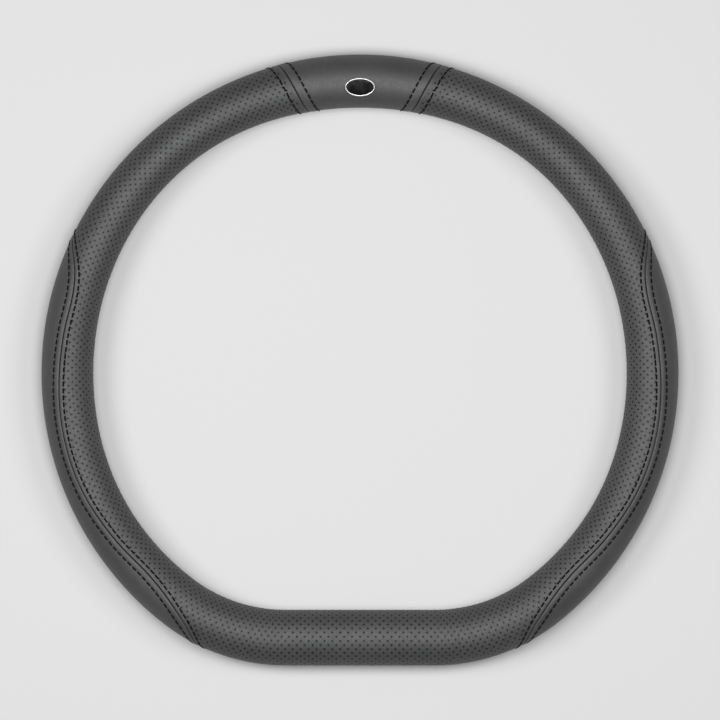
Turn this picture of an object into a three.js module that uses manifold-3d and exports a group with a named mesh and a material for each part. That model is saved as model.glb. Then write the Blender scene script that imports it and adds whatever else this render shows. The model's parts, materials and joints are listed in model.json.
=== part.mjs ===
// A snap-on steering wheel cover with a flat bottom. Four sewn leather panels wrap a moulded rubber ring
// whose section is a C, open towards the hub at the back. Millimetres. +Z is the front face, which the
// driver sees, and +Y is twelve o'clock. The cover lies on its back, on the plane z = 0.

import * as THREE from "three";
import { mergeVertices } from "three/addons/utils/BufferGeometryUtils.js";
import Module from "manifold-3d";

const wasm = await Module();
wasm.setup();

// Outline of the cover's outer edge, seen from the front
const RING_RADIUS = 190;
const CORNER_RADIUS = 119;
const FLAT_CUT = 15.5; // how far the flat bottom lies inside the full round

// Tube that the cover forms round the rim: its depth front to back, and its width at clock angles
const TUBE_DEPTH = 33;
const TOP_WIDTH = 31.8;
const SHOULDER_WIDTH = 29.2;
const SIDE_WIDTH = 31;
const GRIP_WIDTH = 30.5;
const BOTTOM_WIDTH = 33.3;
const TUBE_WIDTHS = [
  { clock: 0, width: TOP_WIDTH },
  { clock: 40, width: SHOULDER_WIDTH },
  { clock: 90, width: SIDE_WIDTH },
  { clock: 115, width: GRIP_WIDTH },
  { clock: 165, width: BOTTOM_WIDTH },
];

// Layers from the outside in, and the gap kept between separate pieces
const LEATHER = 1.2;
const RUBBER = 1.8;
const CLEARANCE = 0.3;

// Wrap angles round the tube: 0 is the outer edge, 90 the front and -90 the back
const BACK_LIP = -99;
const FRONT_LIP = 189;
const WRAP_STEPS = 16;
const HEM_LENGTH = 5; // leather turned in over the rubber's edge
const FOLD_STEPS = 4;

// Seams on the right-hand side, as [clock angle, wrap angle]
const TOP_SEAM = [
  [17.7, BACK_LIP],
  [15.2, 0],
  [13, 90],
  [10.6, FRONT_LIP],
];
const GRIP_SEAM = [
  [62.8, BACK_LIP],
  [63.5, -40],
  [64.8, 15],
  [67.3, 46.5],
  [70.7, 70],
  [75, 80.5],
  [83, 77],
  [100, 67.8],
  [112, 70],
  [124, 83],
  [133.5, 91.5],
  [140.5, 78],
  [146.6, 45],
  [149.4, 0],
  [151.4, BACK_LIP],
];
const SEAM_GAP = 0.3;
const SEAM_VALLEY_DEPTH = 0.7; // the edges turn down into the seam
const SEAM_VALLEY_WIDTH = 2;
const SEAM_STEP = 6;

// Topstitching in rows on both sides of each seam
const THREAD = 0.8;
const THREAD_GAP = 0.5;
const TOP_ROW_OFFSET = 5.5;
const GRIP_ROW_OUTER_OFFSET = 3.8;
const GRIP_ROW_INNER_OFFSET = 2.8;
const ROW_BACK_END = -66; // rows stop short of the face that the cover lies on
const ROW_FRONT_END = 184;
const ROW_STEP = 5;

// Oval badge on the top panel: a metal tray with an enamel face let into it
const BADGE_LENGTH = 17.8;
const BADGE_HEIGHT = 11.1;
const BADGE_RISE = 1.8; // top of the tray above the leather
const BADGE_RIM = 0.9;
const BADGE_FACE = 0.6;
const BADGE_LIP = 0.1; // the rim stands above the face
const BADGE_WRAP = 103;
const BADGE_STEPS = 7; // steps in a quarter of the oval

// Steps of the ring: each side arc, each corner and the flat
const ARC_STEPS = 20;
const CORNER_STEPS = 5;
const FLAT_STEPS = 2;

const DEGREE = Math.PI / 180;

const FINISHES = {
  leather: { color: 0x47474a, roughness: 0.62, metalness: 0 },
  rubber: { color: 0x1b1b1c, roughness: 0.85, metalness: 0 },
  thread: { color: 0x0e0e10, roughness: 0.7, metalness: 0 },
  tray: { color: 0xc4c5c8, roughness: 0.25, metalness: 1 },
  enamel: { color: 0x0a0a0c, roughness: 0.12, metalness: 0 },
};

// The corner arcs meet the round of the ring smoothly, and the flat is their tangent
const flatDrop = RING_RADIUS - FLAT_CUT;
const cornerDrop = flatDrop - CORNER_RADIUS;
const centreReach = RING_RADIUS - CORNER_RADIUS;
const flatHalf = Math.sqrt(centreReach ** 2 - cornerDrop ** 2);
const cornerTurn = Math.acos(cornerDrop / centreReach);
const arcLength = RING_RADIUS * (Math.PI - cornerTurn);
const cornerLength = CORNER_RADIUS * cornerTurn;
const outlineLength = 2 * (arcLength + cornerLength + flatHalf);

const foldThickness = 2 * LEATHER + RUBBER + 2 * CLEARANCE;
const innerLeather = foldThickness - LEATHER;
const tubeRadius = TUBE_DEPTH / 2;
const hemRadius = tubeRadius - foldThickness;
const hemTurn = HEM_LENGTH / hemRadius / DEGREE;
const wrapStep = (FRONT_LIP - BACK_LIP) / WRAP_STEPS;

// Facets of the tube touch its true oval at their middles, so the flats keep their exact sizes
const facetReach = 1 / Math.cos((wrapStep / 2) * DEGREE);

// Point of the outer edge at a station, counted clockwise from twelve o'clock along the edge, with
// the direction that points away from the ring there and the distance from twelve o'clock
function edgeAt(station) {
  const along = ((station % outlineLength) + outlineLength) % outlineLength;
  const side = along > outlineLength / 2 ? -1 : 1;
  const half = side > 0 ? along : outlineLength - along;
  const place = new THREE.Vector3();
  let turn = Math.PI;
  if (half < arcLength) {
    turn = half / RING_RADIUS;
    place.set(RING_RADIUS * Math.sin(turn), RING_RADIUS * Math.cos(turn), 0);
  } else if (half < arcLength + cornerLength) {
    turn = Math.PI - cornerTurn + (half - arcLength) / CORNER_RADIUS;
    place.set(flatHalf, -cornerDrop, 0);
    place.x += CORNER_RADIUS * Math.sin(turn);
    place.y += CORNER_RADIUS * Math.cos(turn);
  } else {
    place.set(outlineLength / 2 - half, -flatDrop, 0);
  }
  place.x *= side;
  const outward = new THREE.Vector3(side * Math.sin(turn), Math.cos(turn), 0);
  return { place, outward, half };
}

// Station of the point of the right-hand edge that lies at a clock angle from 0 to 180 degrees
function stationAt(clock) {
  const fromDown = Math.PI - clock * DEGREE;
  if (fromDown >= cornerTurn) return RING_RADIUS * clock * DEGREE;
  const across = flatDrop * Math.tan(fromDown);
  if (across <= flatHalf) return outlineLength / 2 - across;
  const along = flatHalf * Math.sin(fromDown) + cornerDrop * Math.cos(fromDown);
  const reach = along + Math.sqrt(CORNER_RADIUS ** 2 - centreReach ** 2 + along ** 2);
  const turn = Math.asin((reach * Math.sin(fromDown) - flatHalf) / CORNER_RADIUS);
  return arcLength + CORNER_RADIUS * (cornerTurn - turn);
}

const widthPlaces = TUBE_WIDTHS.map(({ clock, width }) => ({ at: stationAt(clock), width }));

// Width of the tube at a distance from twelve o'clock, eased between the named widths
function tubeWidth(half) {
  const next = widthPlaces.findIndex(({ at }) => at > half);
  if (next < 0) return widthPlaces[widthPlaces.length - 1].width;
  const before = widthPlaces[next - 1];
  const after = widthPlaces[next];
  const share = THREE.MathUtils.smoothstep(half, before.at, after.at);
  return THREE.MathUtils.lerp(before.width, after.width, share);
}

// A point of the cover: station along the outer edge, wrap angle in degrees, depth below the surface
function coverPoint(station, wrap, depth, reach = facetReach) {
  const { place, outward, half } = edgeAt(station);
  const halfWidth = tubeWidth(half) / 2;
  const across = (halfWidth - depth) * reach * Math.cos(wrap * DEGREE);
  const up = (tubeRadius - depth) * reach * Math.sin(wrap * DEGREE);
  return place.addScaledVector(outward, across - halfWidth).setZ(tubeRadius + up);
}

// Triangles that fill a flat ring of points, seen from the side where it runs anticlockwise
function capFaces(ring) {
  const centre = new THREE.Vector3();
  ring.forEach((point) => centre.addScaledVector(point, 1 / ring.length));
  const arms = ring.map((point) => point.clone().sub(centre));
  const normal = new THREE.Vector3();
  arms.forEach((arm, i) => normal.add(arm.clone().cross(arms[(i + 1) % arms.length])));
  normal.normalize();
  const side = arms[0].clone().normalize();
  const other = normal.clone().cross(side);
  const flat = arms.map((arm) => new THREE.Vector2(arm.dot(side), arm.dot(other)));
  return THREE.ShapeUtils.triangulateShape(flat, []);
}

// A body over a row of rings of points. A ring runs anticlockwise for someone who looks back along
// the row. The row closes on itself, or has a cap at each end.
function loft(rings, closed) {
  const size = rings[0].length;
  const spans = closed ? rings.length : rings.length - 1;
  const faces = [];
  for (let i = 0; i < spans; i++) {
    const here = i * size;
    const next = ((i + 1) % rings.length) * size;
    for (let j = 0; j < size; j++) {
      const k = (j + 1) % size;
      faces.push(here + j, next + k, next + j, here + j, here + k, next + k);
    }
  }
  if (!closed) {
    const last = (rings.length - 1) * size;
    for (const [a, b, c] of capFaces(rings[0])) {
      faces.push(a, c, b, last + a, last + b, last + c);
    }
  }
  const geometry = new THREE.BufferGeometry();
  const positions = rings.flat().flatMap((point) => point.toArray());
  geometry.setAttribute("position", new THREE.Float32BufferAttribute(positions, 3));
  geometry.setIndex(faces);
  return geometry;
}

// Conversions between three.js geometry and manifold-3d solids
function solidOf(geometry) {
  const bare = geometry.clone();
  bare.deleteAttribute("normal");
  bare.deleteAttribute("uv");
  const merged = mergeVertices(bare, 1e-4);
  return new wasm.Manifold(
    new wasm.Mesh({
      numProp: 3,
      vertProperties: new Float32Array(merged.getAttribute("position").array),
      triVerts: new Uint32Array(merged.getIndex().array),
    }),
  );
}

function geometryOf(solid) {
  const mesh = solid.getMesh();
  const geometry = new THREE.BufferGeometry();
  geometry.setAttribute("position", new THREE.BufferAttribute(mesh.vertProperties, 3));
  geometry.setIndex(new THREE.BufferAttribute(mesh.triVerts, 1));
  geometry.computeVertexNormals();
  return geometry;
}

// Stations of the ring's sections, closer together where the outline turns
function ringStations() {
  const stations = [];
  const addSpan = (start, length, steps) => {
    for (let i = 0; i < steps; i++) stations.push(start + (length * i) / steps);
  };
  addSpan(0, arcLength, ARC_STEPS);
  addSpan(arcLength, cornerLength, CORNER_STEPS);
  addSpan(arcLength + cornerLength, 2 * flatHalf, FLAT_STEPS);
  addSpan(outlineLength - arcLength - cornerLength, cornerLength, CORNER_STEPS);
  addSpan(outlineLength - arcLength, arcLength, ARC_STEPS);
  return stations;
}

// Wrap angles from the back lip over the outer edge and the front to the front lip
function wrapAngles() {
  return Array.from({ length: WRAP_STEPS + 1 }, (_, i) => BACK_LIP + wrapStep * i);
}

// Half-round turn beyond a lip, from one depth to another, as [wrap angle, depth]
function lipTurn(lip, side, fromDepth, toDepth, steps) {
  const radius = (toDepth - fromDepth) / 2;
  const points = [];
  for (let i = 1; i < steps; i++) {
    const turn = (Math.PI * i) / steps;
    const beyond = (Math.abs(radius) * Math.sin(turn)) / hemRadius / DEGREE;
    points.push([lip + side * beyond, fromDepth + radius * (1 - Math.cos(turn))]);
  }
  return points;
}

// Leg of the hem inside a lip at one depth, from the lip inwards
function hemLeg(lip, side, depth) {
  return [0, 0.5, 1].map((share) => [lip - side * hemTurn * share, depth]);
}

// Section of the leather: outer face, front hem turned in, inner face, back hem turned in
function leatherSection() {
  return [
    ...wrapAngles().map((wrap) => [wrap, 0]),
    ...lipTurn(FRONT_LIP, 1, 0, foldThickness, FOLD_STEPS),
    ...hemLeg(FRONT_LIP, 1, foldThickness),
    ...hemLeg(FRONT_LIP, 1, innerLeather).reverse(),
    ...lipTurn(FRONT_LIP, 1, innerLeather, LEATHER, 2),
    ...wrapAngles().reverse().map((wrap) => [wrap, LEATHER]),
    ...lipTurn(BACK_LIP, -1, LEATHER, innerLeather, 2),
    ...hemLeg(BACK_LIP, -1, innerLeather),
    ...hemLeg(BACK_LIP, -1, foldThickness).reverse(),
    ...lipTurn(BACK_LIP, -1, foldThickness, 0, FOLD_STEPS),
  ];
}

// Section of the rubber: a plain C that ends inside the leather's folds
function rubberSection() {
  const outer = LEATHER + CLEARANCE;
  return [
    ...wrapAngles().map((wrap) => [wrap, outer]),
    ...wrapAngles().reverse().map((wrap) => [wrap, outer + RUBBER]),
  ];
}

// Four corners of a thread's section of radius 1, with a flat side down
function threadCorners() {
  return [0, 1, 2, 3].map((i) => {
    const turn = (-Math.PI * (i + 0.5)) / 2;
    return [Math.cos(turn), Math.sin(turn)];
  });
}

// Section of the thread that holds a hem, on the side that faces the rim
function hemThreadSection(lip, side) {
  const middle = foldThickness + THREAD_GAP + THREAD / 2;
  const turn = THREAD / 2 / hemRadius / DEGREE;
  return threadCorners().map(([along, height]) => [
    lip - (side * hemTurn) / 2 + turn * along,
    middle - (THREAD / 2) * height,
  ]);
}

// A section swept once round the whole ring
function sweepRing(section) {
  const rings = ringStations().map((station) =>
    section.map(([wrap, depth]) => coverPoint(station, wrap, depth)),
  );
  return loft(rings, true);
}

// The tube's full oval, grown by a distance, over the stretch near twelve o'clock
function tubeEnvelope(distance, spans) {
  const step = arcLength / ARC_STEPS;
  const turns = Math.round(360 / wrapStep);
  const rings = Array.from({ length: 2 * spans + 1 }, (_, i) =>
    Array.from({ length: turns }, (_, j) =>
      coverPoint((i - spans) * step, BACK_LIP + wrapStep * j, -distance),
    ),
  );
  return loft(rings, false);
}

// A smooth line on the cover through seam points, as [station, wrap] pairs about a step apart
function seamLine(points, step) {
  const places = points.map(
    ([clock, wrap]) => new THREE.Vector3(stationAt(clock), wrap * DEGREE * tubeRadius, 0),
  );
  const curve = new THREE.CatmullRomCurve3(places);
  const steps = Math.round(curve.getLength() / step);
  return curve.getSpacedPoints(steps).map((p) => [p.x, p.y / tubeRadius / DEGREE]);
}

// The same line on the left-hand side
function mirrored(line) {
  return line.map(([station, wrap]) => [outlineLength - station, wrap]);
}

// At each point of a line: its place, and the directions sideways and out of the leather
function lineFrames(line) {
  const places = line.map(([station, wrap]) => coverPoint(station, wrap, 0, 1));
  return line.map(([station, wrap], i) => {
    const before = places[Math.max(i - 1, 0)];
    const after = places[Math.min(i + 1, line.length - 1)];
    const along = after.clone().sub(before).normalize();
    const out = places[i].clone().sub(coverPoint(station, wrap, 1, 1)).normalize();
    const sideways = along.cross(out).normalize();
    return { place: places[i], sideways, out };
  });
}

// A bar of a section given as [sideways, height], laid along a line of the surface
function barAlong(line, section) {
  const rings = lineFrames(line).map(({ place, sideways, out }) =>
    section.map(([side, height]) =>
      place.clone().addScaledVector(sideways, side).addScaledVector(out, height),
    ),
  );
  return loft(rings, false);
}

// A line moved sideways over the surface
function offsetLine(line, distance) {
  return lineFrames(line).map(({ place, sideways, out }, i) => {
    const [station, wrap] = line[i];
    const { outward } = edgeAt(station);
    const clockwise = new THREE.Vector3(outward.y, -outward.x, 0);
    const wrapward = clockwise.clone().cross(out).normalize();
    const perStation = coverPoint(station + 1, wrap, 0, 1).distanceTo(place);
    const perWrap = coverPoint(station, wrap + 1, 0, 1).distanceTo(place);
    return [
      station + (distance * sideways.dot(clockwise)) / perStation,
      wrap + (distance * sideways.dot(wrapward)) / perWrap,
    ];
  });
}

// Cutter for a seam: a thin blade right through the leather, opening into a valley at the surface
function seamCutter(line) {
  const past = foldThickness / hemRadius / DEGREE;
  const beyond = ([station, wrap]) => [station, wrap + Math.sign(wrap) * past];
  const whole = [beyond(line[0]), ...line, beyond(line[line.length - 1])];
  const half = SEAM_GAP / 2;
  const bottom = -(foldThickness + LEATHER);
  const top = LEATHER;
  const topHalf = half + (SEAM_VALLEY_WIDTH / 2 - half) * (1 + top / SEAM_VALLEY_DEPTH);
  return barAlong(whole, [
    [-half, bottom],
    [-half, -SEAM_VALLEY_DEPTH],
    [-topHalf, top],
    [topHalf, top],
    [half, -SEAM_VALLEY_DEPTH],
    [half, bottom],
  ]);
}

// A row of topstitching beside a seam, from the back end to the front end of the rows
function topstitch(line) {
  const row = line.filter(([, wrap]) => wrap > ROW_BACK_END && wrap < ROW_FRONT_END);
  const middle = THREAD_GAP + THREAD / 2;
  const section = threadCorners().map(([side, height]) => [
    (THREAD / 2) * side,
    middle + (THREAD / 2) * height,
  ]);
  return barAlong(row, section);
}

// An oval plate about the origin, between two heights
function ovalPlate(length, height, low, high) {
  const oval = new THREE.Shape().absellipse(0, 0, length / 2, height / 2, 0, 2 * Math.PI);
  const outline = new THREE.Shape(oval.getPoints(4 * BADGE_STEPS).slice(0, -1));
  const plate = new THREE.ExtrudeGeometry(outline, { depth: high - low, bevelEnabled: false });
  return plate.translate(0, 0, low);
}

// Puts a plate that was made about the origin onto the leather at twelve o'clock
function seatOnTop(plate) {
  const place = coverPoint(0, BADGE_WRAP, 0, 1);
  const out = place.clone().sub(coverPoint(0, BADGE_WRAP, 1, 1)).normalize();
  const across = new THREE.Vector3(1, 0, 0);
  const upward = out.clone().cross(across);
  return plate.applyMatrix4(
    new THREE.Matrix4().makeBasis(across, upward, out).setPosition(place),
  );
}

// The badge's tray, shaped underneath to the leather and hollowed for the face
function badgeTray() {
  const length = BADGE_LENGTH - 2 * BADGE_RIM;
  const height = BADGE_HEIGHT - 2 * BADGE_RIM;
  const floor = BADGE_RISE - BADGE_LIP - BADGE_FACE - CLEARANCE;
  const block = ovalPlate(BADGE_LENGTH, BADGE_HEIGHT, -BADGE_RISE, BADGE_RISE);
  const recess = ovalPlate(length, height, floor, 2 * BADGE_RISE);
  const tray = solidOf(seatOnTop(block))
    .subtract(solidOf(seatOnTop(recess)))
    .subtract(solidOf(tubeEnvelope(CLEARANCE, 2)));
  return geometryOf(tray);
}

// The enamel face, with a clearance all round it in the tray
function badgeFace() {
  const length = BADGE_LENGTH - 2 * BADGE_RIM - 2 * CLEARANCE;
  const height = BADGE_HEIGHT - 2 * BADGE_RIM - 2 * CLEARANCE;
  const top = BADGE_RISE - BADGE_LIP;
  return seatOnTop(ovalPlate(length, height, top - BADGE_FACE, top));
}

// Name of a leather panel, from where it lies
function panelName({ min, max }) {
  if (max[0] < 0) return "left_grip_panel";
  if (min[0] > 0) return "right_grip_panel";
  return min[1] > 0 ? "top_panel" : "perforated_panel";
}

// The leather wrap, cut along its seams into panels
function leatherPanels(seams) {
  let wrap = solidOf(sweepRing(leatherSection()));
  for (const line of seams) wrap = wrap.subtract(solidOf(seamCutter(line)));
  return wrap.decompose().map((panel) => {
    return { name: panelName(panel.boundingBox()), geometry: geometryOf(panel) };
  });
}

// The middle of the outline's height is the middle of the part
const cover = new THREE.Group();
cover.position.y = -FLAT_CUT / 2;

function addPiece(name, geometry, finish) {
  const mesh = new THREE.Mesh(geometry, new THREE.MeshStandardMaterial(FINISHES[finish]));
  mesh.name = name;
  cover.add(mesh);
}

const topSeam = seamLine(TOP_SEAM, SEAM_STEP);
const gripSeam = seamLine(GRIP_SEAM, SEAM_STEP);
const seams = [topSeam, mirrored(topSeam), gripSeam, mirrored(gripSeam)];

addPiece("rubber_inner_ring", sweepRing(rubberSection()), "rubber");
for (const { name, geometry } of leatherPanels(seams)) addPiece(name, geometry, "leather");

const rows = {
  top_seam_upper_thread: offsetLine(seamLine(TOP_SEAM, ROW_STEP), TOP_ROW_OFFSET),
  top_seam_lower_thread: offsetLine(seamLine(TOP_SEAM, ROW_STEP), -TOP_ROW_OFFSET),
  grip_seam_outer_thread: offsetLine(seamLine(GRIP_SEAM, ROW_STEP), -GRIP_ROW_OUTER_OFFSET),
  grip_seam_inner_thread: offsetLine(seamLine(GRIP_SEAM, ROW_STEP), GRIP_ROW_INNER_OFFSET),
};
for (const [name, row] of Object.entries(rows)) {
  addPiece(`right_${name}`, topstitch(row), "thread");
  addPiece(`left_${name}`, topstitch(mirrored(row)), "thread");
}
addPiece("front_hem_thread", sweepRing(hemThreadSection(FRONT_LIP, 1)), "thread");
addPiece("back_hem_thread", sweepRing(hemThreadSection(BACK_LIP, -1)), "thread");
addPiece("badge_tray", badgeTray(), "tray");
addPiece("badge_face", badgeFace(), "enamel");

export default cover;
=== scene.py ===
"""A sewn leather steering wheel cover with a flat bottom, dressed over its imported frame. Metres."""

import json
import math

import bpy
import numpy as np
from mathutils import Matrix, Vector

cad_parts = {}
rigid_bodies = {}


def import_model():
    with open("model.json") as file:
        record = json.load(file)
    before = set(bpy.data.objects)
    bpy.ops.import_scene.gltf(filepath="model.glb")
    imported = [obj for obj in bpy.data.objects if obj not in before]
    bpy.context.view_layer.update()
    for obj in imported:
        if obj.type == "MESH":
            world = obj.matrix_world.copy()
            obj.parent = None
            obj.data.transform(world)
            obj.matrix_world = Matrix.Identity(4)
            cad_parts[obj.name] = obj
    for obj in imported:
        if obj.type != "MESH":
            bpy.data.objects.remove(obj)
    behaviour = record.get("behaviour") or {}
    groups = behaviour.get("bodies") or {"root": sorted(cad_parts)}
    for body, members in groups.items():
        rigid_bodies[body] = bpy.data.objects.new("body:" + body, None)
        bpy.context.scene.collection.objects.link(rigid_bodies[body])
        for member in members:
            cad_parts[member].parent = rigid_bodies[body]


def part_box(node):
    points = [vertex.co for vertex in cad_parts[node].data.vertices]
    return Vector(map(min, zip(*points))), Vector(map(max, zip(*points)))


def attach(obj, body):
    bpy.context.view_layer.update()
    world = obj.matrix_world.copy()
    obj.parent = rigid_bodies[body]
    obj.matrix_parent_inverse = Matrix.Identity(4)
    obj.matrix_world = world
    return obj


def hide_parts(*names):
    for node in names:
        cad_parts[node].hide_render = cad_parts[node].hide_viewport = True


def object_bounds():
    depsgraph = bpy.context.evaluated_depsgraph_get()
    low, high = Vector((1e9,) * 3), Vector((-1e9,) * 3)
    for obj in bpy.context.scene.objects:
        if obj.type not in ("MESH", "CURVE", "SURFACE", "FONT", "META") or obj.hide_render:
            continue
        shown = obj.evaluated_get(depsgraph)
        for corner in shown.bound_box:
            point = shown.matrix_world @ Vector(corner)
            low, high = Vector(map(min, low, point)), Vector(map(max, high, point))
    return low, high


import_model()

cad_low, cad_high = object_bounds()
bpy.ops.object.select_all(action="DESELECT")

MM = 0.001
CLOSE = 0.01 * MM  # points nearer than this are one

# The ring's outline: the frame gives its height, its middle and the tube's depth
RING_RADIUS = 190 * MM
CORNER_RADIUS = 119 * MM
FLAT_DROP = (cad_high.y - cad_low.y) - RING_RADIUS
HUB_Y = cad_high.y - RING_RADIUS
TUBE_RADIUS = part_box("perforated_panel")[1].z / 2
TUBE_WIDTHS = ((0, 31.8 * MM), (40, 29.2 * MM), (90, 31 * MM), (115, 30.5 * MM), (165, 33.3 * MM))

# Layers from the outside in
LEATHER = 1.2 * MM
RUBBER = 1.8 * MM
CLEARANCE = 0.3 * MM
FOLD = 2 * LEATHER + RUBBER + 2 * CLEARANCE
HEM_LENGTH = 5 * MM
BACK_LIP = math.radians(-99)
FRONT_LIP = math.radians(189)

# Seams on the right-hand side, as (clock angle, wrap angle), from the back lip to the front lip
TOP_SEAM = ((17.7, -99), (15.2, 0), (13, 90), (10.6, 189))
GRIP_SEAM = (
    (62.8, -99), (63.5, -40), (64.8, 15), (67.3, 46.5), (70.7, 70), (75, 80.5), (83, 77), (100, 67.8),
    (112, 70), (124, 83), (133.5, 91.5), (140.5, 78), (146.6, 45), (149.4, 0), (151.4, -99),
)
SEAM_GAP = 0.16 * MM
SEAM_ROLL = 0.6 * MM  # radius at which the leather turns down into a seam
SEAM_REACH = 14 * MM  # how far from a seam its distance is measured
SPARE = 6 * MM  # leather beyond a seam, before it is cut
BLADE_CLOSE = 0.001 * MM  # points of a seam's cutter nearer than this are one
BLADE_PROUD = 0.02 * MM  # the cutter's rounds end this far over the leather

# The leather swells between a seam and its stitches, but not at the back, where it lies on the ground
PERFORATED_SWELL = 0.12 * MM
SMOOTH_SWELL = 0.24 * MM
GROOVE_WIDTH = 0.9 * MM
SWELL_NONE = math.radians(-82)
SWELL_FULL = math.radians(-68)

# Topstitching
STITCH_PITCH = 4.15 * MM
STITCH_LENGTH = 3.35 * MM
STITCH_THICKNESS = 1.1 * MM
TOP_ROW = 5.5 * MM
GRIP_OUTER_ROW = 3.8 * MM
GRIP_INNER_ROW = 2.8 * MM
ROW_BACK_END = math.radians(-66)
ROW_FRONT_END = math.radians(184)
HEM_PITCH = 5 * MM
HEM_POINTS = 1200

# Perforation: diamonds with a hole each, every second line of them set over by half a diamond
HOLE = 1.06 * MM
HOLE_DIMPLE = 0.1 * MM  # the skin sinks a little into each hole
TILE_LENGTH = 4.7 * MM
TILE_ROWS = 16
SEAM_MARGIN = 1.9 * MM  # no hole lies nearer to a seam
SMOOTH_CELL = 1.4 * MM  # mesh of the smooth panels
MIDDLE_PLAY = 10 * MM  # the top panel's middle is nearer than this to twelve o'clock
GRIP_LIMIT = math.radians(110)  # the grip panels end before this wrap angle

# Edges that turn by more degrees than these stay sharp
LEATHER_ANGLE, HARD_ANGLE, THREAD_ANGLE = 38, 40, 60

# The rubber ring's mesh, and the ribs on its inner side
RING_COLUMNS, RING_ROWS = 240, 48
RIB_HEIGHT = 0.5 * MM
RIB_EVERY = 5
RIB_FREE_ROWS = 4  # no rib this near to a lip, where the hem lies

# The badge
BADGE_LENGTH = 17.8 * MM
BADGE_HEIGHT = 11.1 * MM
BADGE_RISE = 1.8 * MM
BADGE_RIM = 0.75 * MM
BADGE_LIP = 0.15 * MM  # the rim stands above the face
BADGE_RECESS = 0.9 * MM
BADGE_FACE = 0.45 * MM
BADGE_FOOT = 0.3 * MM
BADGE_ROUND = 0.46 * BADGE_RIM
BADGE_PLAY = 0.05 * MM  # between the face and the rim
BADGE_GAP = 0.1 * MM  # between the tray and the leather
BADGE_SIDES = 72
BADGE_DOME = ((0.3 * MM, 0.01 * MM), (0.9 * MM, 0.025 * MM), (1.3 * MM, 0.025 * MM))  # inset and rise
BADGE_WRAP = math.radians(103)

# The camera looks straight down, and the photograph is this wide at the height of the ring's edge
VIEW_WIDTH = 429.5 * MM
CAMERA_HEIGHT = 8.0
SENSOR_WIDTH = 36

corner_drop = FLAT_DROP - CORNER_RADIUS
centre_reach = RING_RADIUS - CORNER_RADIUS
flat_half = math.sqrt(centre_reach**2 - corner_drop**2)
corner_turn = math.acos(corner_drop / centre_reach)
arc_length = RING_RADIUS * (math.pi - corner_turn)
corner_length = CORNER_RADIUS * corner_turn
outline_length = 2 * (arc_length + corner_length + flat_half)
back_edge = BACK_LIP * TUBE_RADIUS
front_edge = FRONT_LIP * TUBE_RADIUS
fold_middle = (FOLD - LEATHER) / 2
turn_length = math.pi * fold_middle
hem_width = turn_length + HEM_LENGTH
hem_steps = (*[turn_length / 5] * 5, HEM_LENGTH / 2, HEM_LENGTH / 2)


# The flat leather and the tube. A point of the flat is (station, girth, height): the way along the
# outer edge, clockwise from twelve o'clock; the way round the tube, from the outer edge towards
# the front; and the height over the leather's outer face.


def edge_at(station):
    """Places of the outer edge, its outward directions, and the distances from twelve o'clock."""
    along = np.mod(station, outline_length)
    side = np.where(along > outline_length / 2, -1.0, 1.0)
    half = np.where(side > 0, along, outline_length - along)
    round_part = half < arc_length
    corner_part = half < arc_length + corner_length
    corner_angle = math.pi - corner_turn + (half - arc_length) / CORNER_RADIUS
    turn = np.where(round_part, half / RING_RADIUS, np.where(corner_part, corner_angle, math.pi))
    sine, cosine = np.sin(turn), np.cos(turn)
    flat_x = outline_length / 2 - half
    corner_x = flat_half + CORNER_RADIUS * sine
    corner_y = CORNER_RADIUS * cosine - corner_drop
    x = np.where(round_part, RING_RADIUS * sine, np.where(corner_part, corner_x, flat_x))
    y = np.where(round_part, RING_RADIUS * cosine, np.where(corner_part, corner_y, -FLAT_DROP))
    return side * x, y + HUB_Y, side * sine, cosine, half


def station_at(clock):
    """Station of the right-hand edge at a clock angle in degrees."""
    from_down = math.radians(180 - clock)
    if from_down >= corner_turn:
        return RING_RADIUS * math.radians(clock)
    across = FLAT_DROP * math.tan(from_down)
    if across <= flat_half:
        return outline_length / 2 - across
    along = flat_half * math.sin(from_down) + corner_drop * math.cos(from_down)
    reach = along + math.sqrt(CORNER_RADIUS**2 - centre_reach**2 + along**2)
    turn = math.asin((reach * math.sin(from_down) - flat_half) / CORNER_RADIUS)
    return arc_length + CORNER_RADIUS * (corner_turn - turn)


width_places = np.array([station_at(clock) for clock, _ in TUBE_WIDTHS])
widths = np.array([width for _, width in TUBE_WIDTHS])


def half_width(half):
    """Half the tube's width at distances from twelve o'clock."""
    span = np.searchsorted(width_places, half, side="right") - 1
    span = np.clip(span, 0, len(widths) - 2)
    share = (half - width_places[span]) / (width_places[span + 1] - width_places[span])
    share = np.clip(share, 0, 1)
    eased = share * share * (3 - 2 * share)
    return (widths[span] + (widths[span + 1] - widths[span]) * eased) / 2


def on_tube(flat):
    """Wraps points of the flat round the tube, with the hems turned in over the rubber's edges."""
    station, girth, height = np.asarray(flat, float).T
    over = np.maximum(girth - front_edge, 0) + np.maximum(back_edge - girth, 0)
    side = np.where(girth < 0, -1.0, 1.0)
    turn = np.minimum(over / fold_middle, math.pi)
    leg = np.maximum(over - turn_length, 0)
    reach = FOLD / 2 + height
    depth = np.where(over > 0, FOLD / 2 - reach * np.cos(turn), -height)
    beyond = reach * np.sin(turn) / (TUBE_RADIUS - FOLD / 2) - leg / (TUBE_RADIUS - FOLD)
    wrap = np.clip(girth, back_edge, front_edge) / TUBE_RADIUS + side * beyond * (over > 0)
    x, y, out_x, out_y, half = edge_at(station)
    wide = half_width(half)
    across = (wide - depth) * np.cos(wrap) - wide
    up = TUBE_RADIUS + (TUBE_RADIUS - depth) * np.sin(wrap)
    return np.column_stack([x + out_x * across, y + out_y * across, up])


def unit(vectors):
    return vectors / np.linalg.norm(vectors, axis=1, keepdims=True)


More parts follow.
